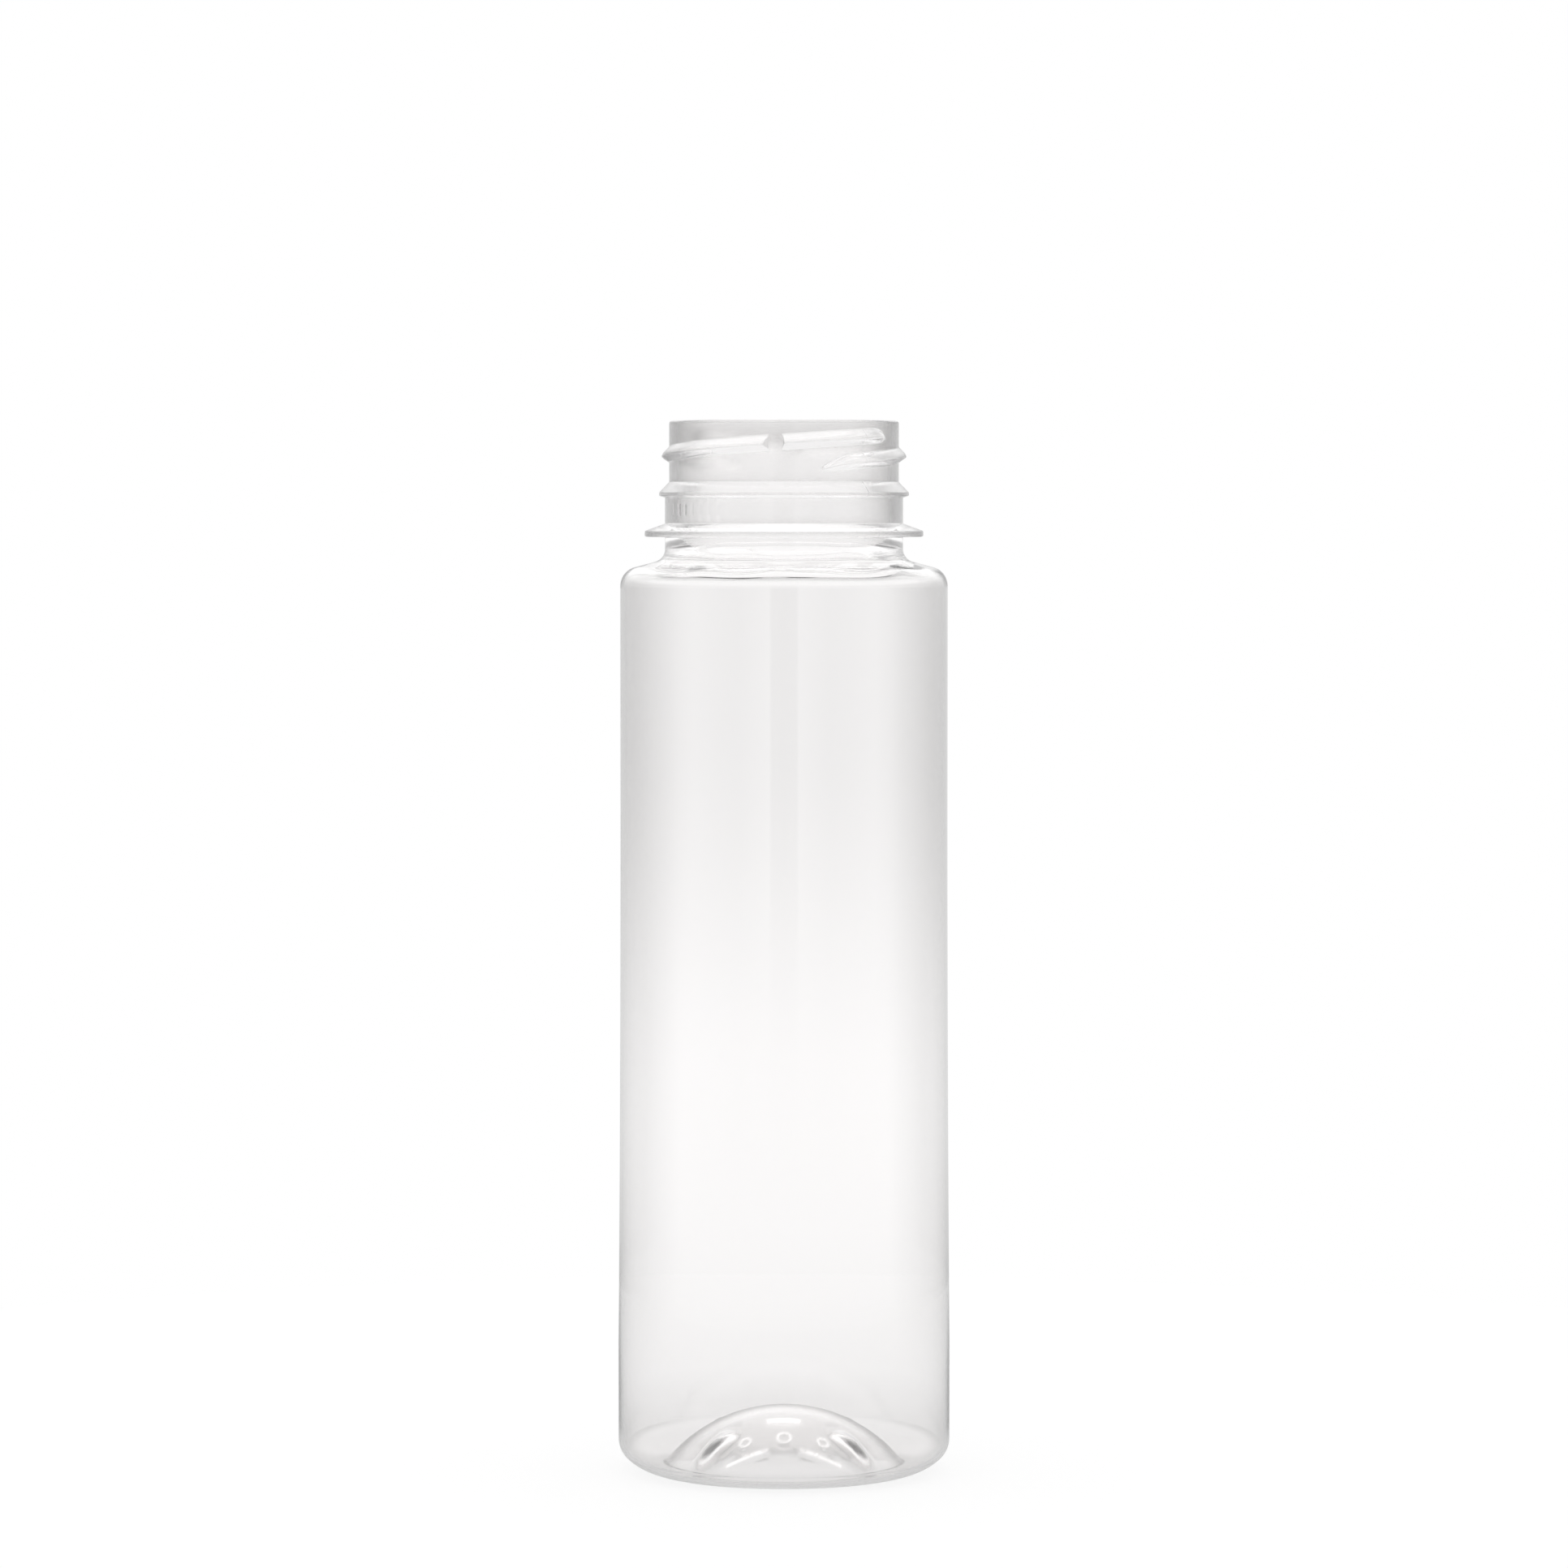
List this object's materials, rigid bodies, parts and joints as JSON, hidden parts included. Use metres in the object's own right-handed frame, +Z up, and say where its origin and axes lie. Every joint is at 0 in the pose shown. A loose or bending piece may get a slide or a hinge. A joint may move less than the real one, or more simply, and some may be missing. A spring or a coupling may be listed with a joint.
{
  "type": "plastic bottle",
  "caption": "Empty clear PET bottle with a wide two-start screw neck, tamper bead, support ring, straight round body and pushed-up ribbed base.",
  "frame": {"origin": "centre of the standing face, on the bottle's axis", "axes": "+Z up along the bottle's axis to the rim, -Y towards the camera of the picture, +X to the picture's right"},
  "size_m": [0.051, 0.051, 0.1615],
  "materials": {
    "clear_plastic": "clear blown PET, glossy inside and out"
  },
  "bodies": {
    "root": {"bottle": "clear_plastic"}
  },
  "joints": []
}
